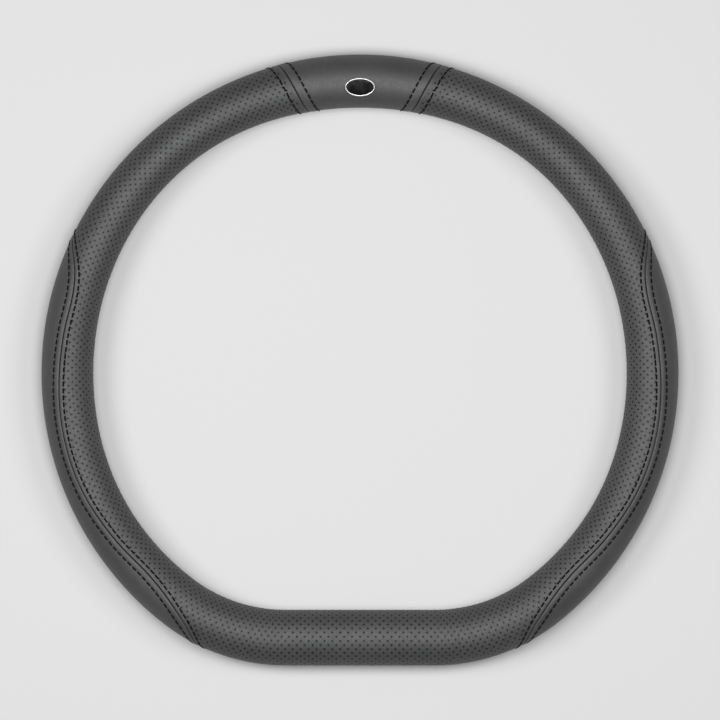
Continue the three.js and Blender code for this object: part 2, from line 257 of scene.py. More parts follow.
def seam_line(points, step=1 * MM):
    """A smooth line through a seam's points, evenly stepped, as rows of (station, girth)."""
    knots = [np.array([station_at(c), math.radians(w) * TUBE_RADIUS]) for c, w in points]
    knots = [2 * knots[0] - knots[1], *knots, 2 * knots[-1] - knots[-2]]
    fine = []
    share = np.linspace(0, 1, 60, endpoint=False)[:, None]
    for p0, p1, p2, p3 in zip(knots, knots[1:], knots[2:], knots[3:]):
        d0, d1, d2 = (math.sqrt(np.linalg.norm(b - a)) for a, b in ((p0, p1), (p1, p2), (p2, p3)))
        t1 = (p1 - p0) / d0 - (p2 - p0) / (d0 + d1) + (p2 - p1) / d1
        t2 = (p2 - p1) / d1 - (p3 - p1) / (d1 + d2) + (p3 - p2) / d2
        t1, t2 = t1 * d1, t2 * d1
        square, cube = share**2, share**3
        fine.append(
            p1 + t1 * share + (3 * (p2 - p1) - 2 * t1 - t2) * square + (2 * (p1 - p2) + t1 + t2) * cube
        )
    line = np.vstack([*fine, knots[-2][None]])
    return even_steps(line, line, step)


def even_steps(line, places, step):
    """Points of a line, evenly stepped as measured along its places."""
    way = np.concatenate([[0], np.cumsum(np.linalg.norm(np.diff(places, axis=0), axis=1))])
    count = max(2, round(way[-1] / step))
    marks = np.linspace(0, way[-1], count + 1)
    return np.column_stack([np.interp(marks, way, column) for column in line.T])


def line_frames(line):
    """Places on the leather along a line, with the directions along it, sideways and outwards."""
    surface = on_tube(np.column_stack([line, np.zeros(len(line))]))
    below = on_tube(np.column_stack([line, np.full(len(line), -1 * MM)]))
    along = unit(np.gradient(surface, axis=0))
    outward = unit(surface - below)
    sideways = unit(np.cross(along, outward))
    return surface, along, sideways, outward


def beside(line, distance):
    """The line moved sideways over the leather."""
    surface, _, sideways, _ = line_frames(line)
    nudge = 0.5 * MM
    per_station = on_tube(np.column_stack([line + [nudge, 0], np.zeros(len(line))])) - surface
    per_girth = on_tube(np.column_stack([line + [0, nudge], np.zeros(len(line))])) - surface
    station_share = (sideways * unit(per_station)).sum(1) / np.linalg.norm(per_station, axis=1)
    girth_share = (sideways * unit(per_girth)).sum(1) / np.linalg.norm(per_girth, axis=1)
    return line + distance * nudge * np.column_stack([station_share, girth_share])


def mirrored(line):
    return np.column_stack([outline_length - line[:, 0], line[:, 1]])


# Working with meshes as by hand


def only(obj):
    """Makes obj the one selected and active object."""
    bpy.ops.object.select_all(action="DESELECT")
    obj.select_set(True)
    bpy.context.view_layer.objects.active = obj


def apply_modifier(obj, kind, **settings):
    only(obj)
    modifier = obj.modifiers.new(kind.lower(), kind)
    for key, value in settings.items():
        setattr(modifier, key, value)
    bpy.ops.object.modifier_apply(modifier=modifier.name)


def points_of(mesh):
    flat = np.empty(len(mesh.vertices) * 3, np.float32)
    mesh.vertices.foreach_get("co", flat)
    return flat.reshape(-1, 3).astype(float)


def place_points(mesh, points):
    mesh.vertices.foreach_set("co", np.asarray(points, np.float32).ravel())
    mesh.update()


def select_vertices(obj, chosen):
    """In edit mode, selects the vertices that are chosen, with the edges and faces between them."""
    bpy.ops.object.mode_set(mode="OBJECT")
    mesh = obj.data
    for part in (mesh.polygons, mesh.edges):
        part.foreach_set("select", np.zeros(len(part), bool))
    mesh.vertices.foreach_set("select", np.asarray(chosen, bool))
    bpy.ops.object.mode_set(mode="EDIT")
    bpy.ops.mesh.select_mode(type="VERT")


def select_faces(obj, test):
    """In edit mode, selects the faces whose centre and normal pass a test."""
    bpy.ops.object.mode_set(mode="OBJECT")
    mesh = obj.data
    for part in (mesh.vertices, mesh.edges):
        part.foreach_set("select", np.zeros(len(part), bool))
    chosen = [test(face.center, face.normal) for face in mesh.polygons]
    mesh.polygons.foreach_set("select", np.asarray(chosen, bool))
    bpy.ops.object.mode_set(mode="EDIT")
    bpy.ops.mesh.select_mode(type="FACE")


def start(name):
    """Names the primitive that was just added."""
    obj = bpy.context.object
    obj.name = name
    obj.data.name = name
    return obj


def remove(obj):
    bpy.data.objects.remove(obj, do_unlink=True)


def flat_sheet(name, left, right, columns, rows):
    """A sheet of leather in the flat, one grid between the lips, with plain hems beyond them."""
    bpy.ops.mesh.primitive_grid_add(x_subdivisions=columns, y_subdivisions=rows, size=2)
    sheet = start(name)
    points = points_of(sheet.data)
    points[:, 0] = left + (right - left) * (points[:, 0] + 1) / 2
    points[:, 1] = back_edge + (front_edge - back_edge) * (points[:, 1] + 1) / 2
    place_points(sheet.data, points)
    add_hems(sheet)
    return sheet


def add_hems(sheet):
    """Extrudes the two long edges of a sheet in the steps of a fold and its leg."""
    only(sheet)
    for edge, way in ((front_edge, 1), (back_edge, -1)):
        points = points_of(sheet.data)
        select_vertices(sheet, np.abs(points[:, 1] - edge) < CLOSE)
        for step in hem_steps:
            bpy.ops.mesh.extrude_region_move(TRANSFORM_OT_translate={"value": (0, way * step, 0)})
        bpy.ops.object.mode_set(mode="OBJECT")


def seam_bar(line):
    """Cutter for a seam in the flat: a thin blade that opens in two quarter rounds at the top."""
    line = line[::2]
    beyond = 2 * hem_width
    first = line[0] - [0, beyond]
    last = line[-1] + [0, beyond if line[-1][1] > 0 else -beyond]
    line = np.vstack([first[None], line, last[None]])
    curve = bpy.data.curves.new("seam_bar", "CURVE")
    curve.dimensions = "3D"
    curve.twist_mode = "Z_UP"
    spline = curve.splines.new("POLY")
    spline.points.add(len(line) - 1)
    for point, (station, girth) in zip(spline.points, line):
        point.co = (station, girth, 0, 1)
    profile = bpy.data.curves.new("seam_profile", "CURVE")
    profile.dimensions = "2D"
    half = SEAM_GAP / 2
    rounds = [math.pi / 2 * i / 4 for i in range(5)]
    right = [(half, -2 * LEATHER)]
    right += [
        (half + SEAM_ROLL * (1 - math.cos(t)), SEAM_ROLL * (math.sin(t) - 1)) for t in rounds
    ]
    right[-1] = (right[-1][0], right[-1][1] + BLADE_PROUD)
    right += [(half + SEAM_ROLL, LEATHER)]
    section = right + [(-x, y) for x, y in reversed(right)]
    outline = profile.splines.new("POLY")
    outline.points.add(len(section) - 1)
    outline.use_cyclic_u = True
    for point, (x, y) in zip(outline.points, section):
        point.co = (x, y, 0, 1)
    profile_obj = bpy.data.objects.new("seam_profile", profile)
    bpy.context.scene.collection.objects.link(profile_obj)
    curve.bevel_mode = "OBJECT"
    curve.bevel_object = profile_obj
    curve.use_fill_caps = True
    bar = bpy.data.objects.new("seam_bar", curve)
    bpy.context.scene.collection.objects.link(bar)
    only(bar)
    bpy.ops.object.convert(target="MESH")
    bpy.ops.object.mode_set(mode="EDIT")
    bpy.ops.mesh.select_all(action="SELECT")
    bpy.ops.mesh.remove_doubles(threshold=BLADE_CLOSE)
    bpy.ops.mesh.normals_make_consistent(inside=False)
    bpy.ops.object.mode_set(mode="OBJECT")
    remove(profile_obj)
    return bar


def cut_seams(sheet, bars):
    for bar in bars:
        apply_modifier(sheet, "BOOLEAN", operation="DIFFERENCE", solver="MANIFOLD", object=bar)


def keep_part(sheet, wanted):
    """Splits a cut sheet into its loose parts and keeps the largest whose points pass a test."""
    only(sheet)
    bpy.ops.object.mode_set(mode="EDIT")
    bpy.ops.mesh.select_all(action="SELECT")
    bpy.ops.mesh.separate(type="LOOSE")
    bpy.ops.object.mode_set(mode="OBJECT")
    name = sheet.name
    parts = list(bpy.context.selected_objects)
    parts.sort(key=lambda part: len(part.data.vertices), reverse=True)
    kept = next(part for part in parts if wanted(points_of(part.data)))
    for part in parts:
        if part is not kept:
            remove(part)
    kept.name = name
    kept.data.name = name
    only(kept)
    return kept


def near_line(points, line, reach):
    """Distances over the leather from points of the flat to a line, where under reach."""
    low, high = line.min(0) - reach, line.max(0) + reach
    inside = np.all((points[:, :2] > low) & (points[:, :2] < high), axis=1)
    found = np.full(len(points), reach)
    index = np.nonzero(inside)[0]
    _, _, _, _, half = edge_at(points[:, 0])
    _, _, _, _, line_half = edge_at(line[:, 0])
    hub_share = half_width(line_half) * (1 - np.cos(line[:, 1] / TUBE_RADIUS)) / RING_RADIUS
    squeeze = 1 - hub_share
    for block in np.array_split(index, max(1, len(index) // 4000)):
        across = (points[block, 0][:, None] - line[None, :, 0]) * squeeze[None]
        up = points[block, 1][:, None] - line[None, :, 1]
        nearest = np.sqrt((across**2 + up**2).min(1))
        found[block] = np.minimum(found[block], nearest)
    return found


def set_attribute(mesh, name, values):
    layer = mesh.attributes.new(name, "FLOAT", "POINT")
    layer.data.foreach_set("value", np.asarray(values, np.float32))


seam_sides = {"top": seam_line(TOP_SEAM), "grip": seam_line(GRIP_SEAM)}
all_seams = [(kind, s) for kind, line in seam_sides.items() for s in (line, mirrored(line))]


def finish_leather(sheet, rows, height):
    """Swells a flat panel beside its seams and wraps it round the tube. Returns its flat area."""
    apply_modifier(sheet, "TRIANGULATE")
    mesh = sheet.data
    points = points_of(mesh)
    depth = np.clip(-points[:, 2] / LEATHER, 0, 1)
    seam = np.full(len(points), SEAM_REACH)
    swell = np.zeros(len(points))
    for kind, line in all_seams:
        distance = near_line(points, line, SEAM_REACH)
        seam = np.minimum(seam, distance)
        row = rows[kind]
        swell += height * np.exp(-(((distance - row / 2) / (0.42 * row)) ** 2))
        swell -= 0.5 * height * np.exp(-(((distance - row) / GROOVE_WIDTH) ** 2))
    wrap = points[:, 1] / TUBE_RADIUS
    raised = np.clip((wrap - SWELL_NONE) / (SWELL_FULL - SWELL_NONE), 0, 1)
    points[:, 2] += swell * (1 - depth) * raised
    area = flat_area(mesh)
    place_points(mesh, on_tube(points))
    mesh.flip_normals()
    set_attribute(mesh, "depth", depth)
    set_attribute(mesh, "seam", seam / MM)
    return area


def flat_area(mesh):
    """Area of the faces that look up in the flat."""
    areas = np.empty(len(mesh.polygons), np.float32)
    normals = np.empty(len(mesh.polygons) * 3, np.float32)
    mesh.polygons.foreach_get("area", areas)
    mesh.polygons.foreach_get("normal", normals)
    return float((areas * (normals.reshape(-1, 3)[:, 2] > 0.5)).sum())


def smooth(obj, degrees):
    only(obj)
    bpy.ops.object.shade_smooth_by_angle(angle=math.radians(degrees))


# Leather panels


def perforated_sheet():
    """The long sheet: a diamond with a hole, repeated along and round, its holes near seams filled."""
    row = (front_edge - back_edge) / (TILE_ROWS + 0.5)
    reach = station_at(TOP_SEAM[-1][0]) - 2 * TILE_LENGTH
    columns = 2 * math.ceil((outline_length / 2 - reach) / TILE_LENGTH)
    left = outline_length / 2 - columns * TILE_LENGTH / 2
    sheet = holed_diamond(row)
    along = {"count": columns, "constant_offset_displace": (TILE_LENGTH, 0, 0)}
    between = {"count": 2, "constant_offset_displace": (TILE_LENGTH / 2, row / 2, 0)}
    around = {"count": TILE_ROWS, "constant_offset_displace": (0, row, 0)}
    merge = {"use_relative_offset": False, "use_constant_offset": True, "use_merge_vertices": True}
    merge["merge_threshold"] = CLOSE
    for steps in (along, between, around):
        apply_modifier(sheet, "ARRAY", **steps, **merge)
    middle = [left + TILE_LENGTH / 2, back_edge + row / 2, 0]
    place_points(sheet.data, points_of(sheet.data) + middle)
    notches = ((back_edge, 1, left + TILE_LENGTH), (front_edge, -1, left + 1.5 * TILE_LENGTH))
    for lip, way, first in notches:
        bpy.ops.mesh.primitive_circle_add(vertices=3, radius=TILE_LENGTH / 2, fill_type="NGON")
        notch = start("notch")
        across = way * TILE_LENGTH / 2
        corners = [(0, way * row / 2, 0), (-across, 0, 0), (across, 0, 0)]
        place_points(notch.data, np.array(corners) + [first, lip, 0])
        apply_modifier(notch, "ARRAY", **{**along, "count": columns - 1}, **merge)
        only(sheet)
        notch.select_set(True)
        bpy.ops.object.join()
    bpy.ops.object.mode_set(mode="EDIT")
    bpy.ops.mesh.select_all(action="SELECT")
    bpy.ops.mesh.remove_doubles(threshold=CLOSE)
    bpy.ops.object.mode_set(mode="OBJECT")
    add_hems(sheet)
    points = points_of(sheet.data)
    near = np.full(len(points), SEAM_REACH)
    for _, line in all_seams:
        near = np.minimum(near, near_line(points, line, SEAM_REACH))
    close = near < SEAM_MARGIN + HOLE
    select_vertices(sheet, close)
    bpy.ops.mesh.fill_holes(sides=6)
    bpy.ops.object.mode_set(mode="OBJECT")
    points[close, 2] = 0
    place_points(sheet.data, points)
    return sheet


def holed_diamond(row):
    """The repeated cell: a diamond, and a hole whose mouth is sunk a little, joined by a bridge."""
    bpy.ops.mesh.primitive_circle_add(vertices=4, radius=0.5)
    cell = start("perforated_panel")
    bpy.ops.object.mode_set(mode="EDIT")
    bpy.ops.transform.resize(value=(TILE_LENGTH, row, 1), center_override=(0, 0, 0))
    bpy.ops.mesh.primitive_circle_add(vertices=6, radius=HOLE / 2, location=(0, 0, -HOLE_DIMPLE))
    bpy.ops.mesh.select_all(action="SELECT")
    bpy.ops.mesh.bridge_edge_loops()
    bpy.ops.mesh.normals_make_consistent(inside=False)
    bpy.ops.object.mode_set(mode="OBJECT")
    if cell.data.polygons[0].normal.z < 0:
        cell.data.flip_normals()
    return cell


def thicken(sheet):
    apply_modifier(sheet, "SOLIDIFY", thickness=LEATHER, offset=-1, use_rim=True)


top_bar, left_top_bar, grip_bar, left_grip_bar = (seam_bar(line) for _, line in all_seams)
bottom = outline_length / 2

perforated = perforated_sheet()
thicken(perforated)
cut_seams(perforated, [top_bar, left_top_bar, grip_bar, left_grip_bar])
perforated = keep_part(perforated, lambda p: np.ptp(p[:, 0]) > bottom)
perforated_rows = {"top": TOP_ROW, "grip": GRIP_INNER_ROW}
perforated_area = finish_leather(perforated, perforated_rows, PERFORATED_SWELL)

top_reach = station_at(TOP_SEAM[0][0]) + SPARE
girth = front_edge - back_edge
top_columns = round(2 * top_reach / SMOOTH_CELL)
top_panel = flat_sheet("top_panel", -top_reach, top_reach, top_columns, round(girth / SMOOTH_CELL))
thicken(top_panel)
shifted = mirrored(seam_sides["top"]) - [outline_length, 0]
cut_seams(top_panel, [top_bar, seam_bar(shifted)])
top_panel = keep_part(top_panel, lambda p: abs(p[:, 0].mean()) < MIDDLE_PLAY)
all_seams.append(("top", shifted))
smooth_rows = {"top": TOP_ROW, "grip": GRIP_OUTER_ROW}
top_area = finish_leather(top_panel, smooth_rows, SMOOTH_SWELL)

grip_from = station_at(GRIP_SEAM[0][0]) - SPARE
grip_to = station_at(GRIP_SEAM[-1][0]) + SPARE
grip_columns = round((grip_to - grip_from) / SMOOTH_CELL)
right_grip = flat_sheet("right_grip_panel", grip_from, grip_to, grip_columns, round(girth / SMOOTH_CELL))
thicken(right_grip)
cut_seams(right_grip, [grip_bar])
right_grip = keep_part(right_grip, lambda p: p[:, 1].max() < GRIP_LIMIT * TUBE_RADIUS)
grip_area = finish_leather(right_grip, smooth_rows, SMOOTH_SWELL)


def mirror_image(obj, name):
    """A copy of a piece on the other side of the ring."""
    other = obj.copy()
    other.data = obj.data.copy()
    other.name = name
    other.data.name = name
    bpy.context.scene.collection.objects.link(other)
    other.data.transform(Matrix.Scale(-1, 4, (1, 0, 0)))
    other.data.flip_normals()
    return other


left_grip = mirror_image(right_grip, "left_grip_panel")
for bar in [o for o in bpy.data.objects if o.name.startswith("seam_bar")]:
    remove(bar)
for panel in (perforated, top_panel, right_grip, left_grip):
    smooth(panel, LEATHER_ANGLE)


# Rubber ring


def rubber_ring():
    """A moulded C with low ribs on the side that grips the rim."""
    bpy.ops.mesh.primitive_grid_add(x_subdivisions=RING_COLUMNS, y_subdivisions=RING_ROWS, size=2)
    ring = start("rubber_inner_ring")
    points = points_of(ring.data)
    points[:, 0] = outline_length * (points[:, 0] + 1) / 2
    points[:, 1] = back_edge + (front_edge - back_edge) * (points[:, 1] + 1) / 2
    points[:, 2] = -(LEATHER + CLEARANCE)
    place_points(ring.data, points)
    apply_modifier(ring, "SOLIDIFY", thickness=RUBBER, offset=-1, use_rim=True)
    inner = -(LEATHER + CLEARANCE + RUBBER)
    step = (front_edge - back_edge) / RING_ROWS

    def on_rib(centre, normal):
        row = int((centre.y - back_edge) / step)
        clear_of_hems = RIB_FREE_ROWS <= row < RING_ROWS - RIB_FREE_ROWS
        on_inside = normal.z < -0.5 and centre.z < inner + 0.1 * MM
        return on_inside and clear_of_hems and row % RIB_EVERY == 0

    select_faces(ring, on_rib)
    bpy.ops.mesh.extrude_region_move(TRANSFORM_OT_translate={"value": (0, 0, -RIB_HEIGHT)})
    select_faces(ring, lambda centre, normal: abs(normal.x) > 0.9)
    bpy.ops.mesh.delete(type="ONLY_FACE")
    bpy.ops.object.mode_set(mode="OBJECT")
    points = points_of(ring.data)
    points[:, 1] = np.clip(points[:, 1], back_edge, front_edge)
    place_points(ring.data, on_tube(points))
    bpy.ops.object.mode_set(mode="EDIT")
    bpy.ops.mesh.select_all(action="SELECT")
    bpy.ops.mesh.remove_doubles(threshold=CLOSE)
    bpy.ops.mesh.flip_normals()
    bpy.ops.object.mode_set(mode="OBJECT")
    smooth(ring, HARD_ANGLE)
    return ring


rubber = rubber_ring()


# Topstitching


def one_stitch():
    """A single stitch along X: a short bar of six sides, whose rings narrow and dip at the ends."""
    bpy.ops.mesh.primitive_cylinder_add(
        vertices=6, radius=STITCH_THICKNESS / 2, depth=STITCH_LENGTH, rotation=(0, math.pi / 2, 0)
    )
    stitch = start("stitch")
    bpy.ops.object.transform_apply(location=True, rotation=True, scale=True)
    half = STITCH_LENGTH / 2
    bpy.ops.object.mode_set(mode="EDIT")
    bpy.ops.mesh.select_mode(type="EDGE")
    bpy.ops.mesh.select_all(action="DESELECT")
    bpy.ops.object.mode_set(mode="OBJECT")
    mesh = stitch.data
    for edge in mesh.edges:
        first, second = (mesh.vertices[v].co.x for v in edge.vertices)
        edge.select = abs(first - second) > half
    bpy.ops.object.mode_set(mode="EDIT")
    bpy.ops.mesh.subdivide(number_cuts=4)
    bpy.ops.object.mode_set(mode="OBJECT")
    points = points_of(mesh)
    share = np.abs(points[:, 0]) / half
    points[:, 0] = np.sign(points[:, 0]) * half * np.interp(share, (0.2, 0.6, 1), (0.55, 0.88, 1))
    points[:, 1:] *= np.interp(share, (0.2, 0.6, 1), (1, 0.9, 0.45))[:, None]
    points[:, 2] = points[:, 2] * 0.85 - STITCH_THICKNESS * 0.4 * share**4
    place_points(mesh, points)
    return stitch


def stitch_row(name, line, pitch, closed=False):
    """A row of stitches half sunk into the leather along a line, as one thread."""
    places = line_frames(line)[0]
    ends = even_steps(line, places, pitch)
    middles = (ends[1:] + ends[:-1]) / 2
    frames = line_frames(middles)
    if closed:
        once_round = [outline_length, 0]
        longer = np.vstack([middles[-1:] - once_round, middles, middles[:1] + once_round])
        frames = [part[1:-1] for part in line_frames(longer)]
    stitch = one_stitch()
    local = points_of(stitch.data)
    copies = []
    for place, forward, aside, up in zip(*frames):
        copy = stitch.copy()
        copy.data = stitch.data.copy()
        bpy.context.scene.collection.objects.link(copy)
        turned = local @ np.array([forward, -aside, up])
        place_points(copy.data, place + turned)
        layer = copy.data.attributes.new("stitch", "FLOAT_VECTOR", "POINT")
        layer.data.foreach_set("vector", (local / MM).astype(np.float32).ravel())
        copies.append(copy)
    remove(stitch)
    bpy.ops.object.select_all(action="DESELECT")
    for copy in copies:
        copy.select_set(True)
    bpy.context.view_layer.objects.active = copies[0]
    bpy.ops.object.join()
    row = start(name)
    smooth(row, THREAD_ANGLE)
    return row


def trimmed(line):
    wrap = line[:, 1] / TUBE_RADIUS
    return line[(wrap > ROW_BACK_END) & (wrap < ROW_FRONT_END)]


threads = {}
for label, seam, offset in (
    ("top_seam_upper_thread", "top", TOP_ROW),
    ("top_seam_lower_thread", "top", -TOP_ROW),
    ("grip_seam_outer_thread", "grip", -GRIP_OUTER_ROW),
    ("grip_seam_inner_thread", "grip", GRIP_INNER_ROW),
):
    row = trimmed(beside(seam_sides[seam], offset))
    name = f"right_{label}"
    threads[name] = stitch_row(name, row, STITCH_PITCH)
    threads[f"left_{label}"] = mirror_image(threads[name], f"left_{label}")


def hem_row(name, lip, side):
    """Stitches all round the inside of a hem, on the leg of the fold."""
    stations = np.linspace(0, outline_length, HEM_POINTS)
    leg = turn_length + HEM_LENGTH / 2
    line = np.column_stack([stations, np.full(len(stations), lip + side * leg)])
    return stitch_row(name, line, HEM_PITCH, closed=True)


threads["front_hem_thread"] = hem_row("front_hem_thread", front_edge, 1)
threads["back_hem_thread"] = hem_row("back_hem_thread", back_edge, -1)


# Badge


def badge_matrix():
    place = on_tube([[0, BADGE_WRAP * TUBE_RADIUS, 0]])[0]
    below = on_tube([[0, BADGE_WRAP * TUBE_RADIUS, -1 * MM]])[0]
    up = Vector(place - below).normalized()
    across = Vector((1, 0, 0))
    turn = Matrix((across, up.cross(across), up)).transposed()
    return Matrix.Translation(place) @ turn.to_4x4()


def oval(name, length, height, bottom_z, top_z):
    bpy.ops.mesh.primitive_cylinder_add(
        vertices=BADGE_SIDES, radius=0.5, depth=top_z - bottom_z, location=(0, 0, (top_z + bottom_z) / 2)
    )
    plate = start(name)
    plate.scale = (length, height, 1)
    bpy.ops.object.transform_apply(location=True, rotation=False, scale=True)
    return plate


def badge_tray():
    """A metal tray with a rounded rim, shaped underneath to the leather."""
    tray = oval("badge_tray", BADGE_LENGTH, BADGE_HEIGHT, BADGE_FOOT, BADGE_RISE)
    select_faces(tray, lambda centre, normal: normal.z > 0.9)
    bpy.ops.mesh.inset(thickness=BADGE_RIM)
    bpy.ops.mesh.extrude_region_move(TRANSFORM_OT_translate={"value": (0, 0, -BADGE_RECESS)})
    bpy.ops.object.mode_set(mode="OBJECT")
    mesh = tray.data
    bpy.ops.object.mode_set(mode="EDIT")
    bpy.ops.mesh.select_mode(type="EDGE")
    bpy.ops.mesh.select_all(action="DESELECT")
    bpy.ops.object.mode_set(mode="OBJECT")
    for edge in mesh.edges:
        a, b = (mesh.vertices[v].co for v in edge.vertices)
        on_top = abs(a.z - BADGE_RISE) < CLOSE and abs(b.z - BADGE_RISE) < CLOSE
        edge.select = on_top and on_oval_edge(a, b)
    bpy.ops.object.mode_set(mode="EDIT")
    bpy.ops.mesh.bevel(offset=BADGE_ROUND, segments=5, profile=0.5)
    bpy.ops.object.mode_set(mode="OBJECT")
    feet = tray.vertex_groups.new(name="feet")
    feet.add([v.index for v in mesh.vertices if v.co.z < BADGE_FOOT + CLOSE], 1, "REPLACE")
    tray.matrix_world = badge_matrix()
    bpy.context.view_layer.update()
    apply_modifier(
        tray, "SHRINKWRAP", target=top_panel, wrap_method="PROJECT", use_project_z=True,
        use_negative_direction=True, use_positive_direction=True, offset=BADGE_GAP, vertex_group="feet",
    )
    bpy.ops.object.transform_apply(location=True, rotation=True, scale=True)
    smooth(tray, HARD_ANGLE)
    return tray


def on_oval_edge(a, b):
    """True for an edge along the oval, and false for one across the rim."""
    ring_a = (a.x / BADGE_LENGTH) ** 2 + (a.y / BADGE_HEIGHT) ** 2
    ring_b = (b.x / BADGE_LENGTH) ** 2 + (b.y / BADGE_HEIGHT) ** 2
    return abs(ring_a - ring_b) < 0.02


def badge_face():
    """A glossy enamel face, slightly domed, let into the tray."""
    gap = 2 * (BADGE_RIM + BADGE_PLAY)
    top = BADGE_RISE - BADGE_LIP
    face = oval("badge_face", BADGE_LENGTH - gap, BADGE_HEIGHT - gap, top - BADGE_FACE, top)
    select_faces(face, lambda centre, normal: normal.z > 0.9)
    for step, rise in BADGE_DOME:
        bpy.ops.mesh.inset(thickness=step)
        bpy.ops.transform.translate(value=(0, 0, rise))
    bpy.ops.mesh.poke()
    bpy.ops.object.mode_set(mode="OBJECT")
    face.matrix_world = badge_matrix()
    bpy.context.view_layer.update()
    bpy.ops.object.transform_apply(location=True, rotation=True, scale=True)
    smooth(face, HARD_ANGLE)
    return face


tray, enamel = badge_tray(), badge_face()


# Finishes

LEATHER_COLOUR = (0.044, 0.0445, 0.046)
THREAD_COLOUR = (0.0035, 0.0035, 0.004)
RUBBER_COLOUR = (0.011, 0.011, 0.0115)


def new_material(name):
    material = bpy.data.materials.new(name)
    material.use_nodes = True
    tree = material.node_tree
    return material, tree, tree.nodes["Principled BSDF"]


def add_node(tree, kind, inputs=None, **settings):
    made = tree.nodes.new(kind)
    for key, value in settings.items():
        setattr(made, key, value)
    for key, value in (inputs or {}).items():
        if isinstance(value, bpy.types.NodeSocket):
            tree.links.new(value, made.inputs[key])
        else:
            made.inputs[key].default_value = value
    return made


def calculate(tree, operation, *values, clamp=False):
    inputs = dict(enumerate(values))
    made = add_node(tree, "ShaderNodeMath", inputs, operation=operation, use_clamp=clamp)
    return made.outputs[0]


def ramp_value(tree, value, low, high, out_low=0.0, out_high=1.0):
    inputs = {"Value": value, "From Min": low, "From Max": high, "To Min": out_low, "To Max": out_high}
    made = add_node(tree, "ShaderNodeMapRange", inputs, interpolation_type="SMOOTHSTEP")
    return made.outputs["Result"]


def scaled(tree, colour, share):
    """A colour made lighter or darker by a share that changes over the surface."""
    made = add_node(tree, "ShaderNodeVectorMath", {0: colour, "Scale": share}, operation="SCALE")
    return made.outputs[0]


def mix_colour(tree, share, first, second):
    made = tree.nodes.new("ShaderNodeMix")
    made.data_type = "RGBA"
    for key, value in ((0, share), (6, first), (7, second)):
        if isinstance(value, bpy.types.NodeSocket):
            tree.links.new(value, made.inputs[key])
        else:
            made.inputs[key].default_value = value
    return made.outputs[2]


def new_group(name, inputs, outputs):
    group = bpy.data.node_groups.new(name, "ShaderNodeTree")
    for label, kind, value in inputs:
        socket = group.interface.new_socket(label, in_out="INPUT", socket_type=kind)
        socket.default_value = value
    for label, kind in outputs:
        group.interface.new_socket(label, in_out="OUTPUT", socket_type=kind)
    return group, group.nodes.new("NodeGroupInput"), group.nodes.new("NodeGroupOutput")


def grain_group():
    """Leather grain in Object coordinates: pebbles, creases and a slow mottle. Height is in metres."""
    group, given, result = new_group(
        "leather_grain",
        [
            ("Pebble", "NodeSocketFloat", 1100.0),
            ("Relief", "NodeSocketFloat", 0.00006),
            ("Mottle", "NodeSocketFloat", 0.00006),
        ],
        [("Height", "NodeSocketFloat"), ("Tone", "NodeSocketFloat"), ("Gloss", "NodeSocketFloat")],
    )
    where = add_node(group, "ShaderNodeTexCoord").outputs["Object"]
    warp = add_node(group, "ShaderNodeTexNoise", {"Vector": where, "Scale": 260.0, "Detail": 2.0})
    bent = add_node(
        group, "ShaderNodeVectorMath", {0: warp.outputs["Color"], 1: (0.0011, 0.0011, 0.0011)},
        operation="MULTIPLY",
    )
    moved = add_node(group, "ShaderNodeVectorMath", {0: where, 1: bent.outputs[0]}, operation="ADD")
    cells = add_node(
        group, "ShaderNodeTexVoronoi",
        {"Vector": moved.outputs[0], "Scale": given.outputs["Pebble"]}, feature="DISTANCE_TO_EDGE",
    )
    pebble = ramp_value(group, cells.outputs["Distance"], 0.0, 0.28)
    fine = add_node(group, "ShaderNodeTexNoise", {"Vector": where, "Scale": 3200.0, "Detail": 3.0})
    mottle = add_node(group, "ShaderNodeTexNoise", {"Vector": where, "Scale": 420.0, "Detail": 3.0})
    broad = add_node(group, "ShaderNodeTexNoise", {"Vector": where, "Scale": 38.0, "Detail": 3.0})
    height = calculate(group, "MULTIPLY_ADD", fine.outputs["Fac"], 0.35, pebble)
    height = calculate(group, "MULTIPLY", height, given.outputs["Relief"])
    height = calculate(group, "MULTIPLY_ADD", mottle.outputs["Fac"], given.outputs["Mottle"], height)
    group.links.new(height, result.inputs["Height"])
    shade = calculate(group, "MULTIPLY_ADD", pebble, 0.26, 0.67)
    shade = calculate(group, "MULTIPLY_ADD", mottle.outputs["Fac"], 0.3, shade)
    patch = ramp_value(group, broad.outputs["Fac"], 0.3, 0.7, -0.09, 0.09)
    group.links.new(calculate(group, "ADD", shade, patch), result.inputs["Tone"])
    gloss = calculate(group, "MULTIPLY_ADD", pebble, -0.05, 0.06)
    uneven = ramp_value(group, mottle.outputs["Fac"], 0.3, 0.7, -0.05, 0.05)
    gloss = calculate(group, "ADD", gloss, uneven)
    group.links.new(gloss, result.inputs["Gloss"])
    return group


grain = grain_group()


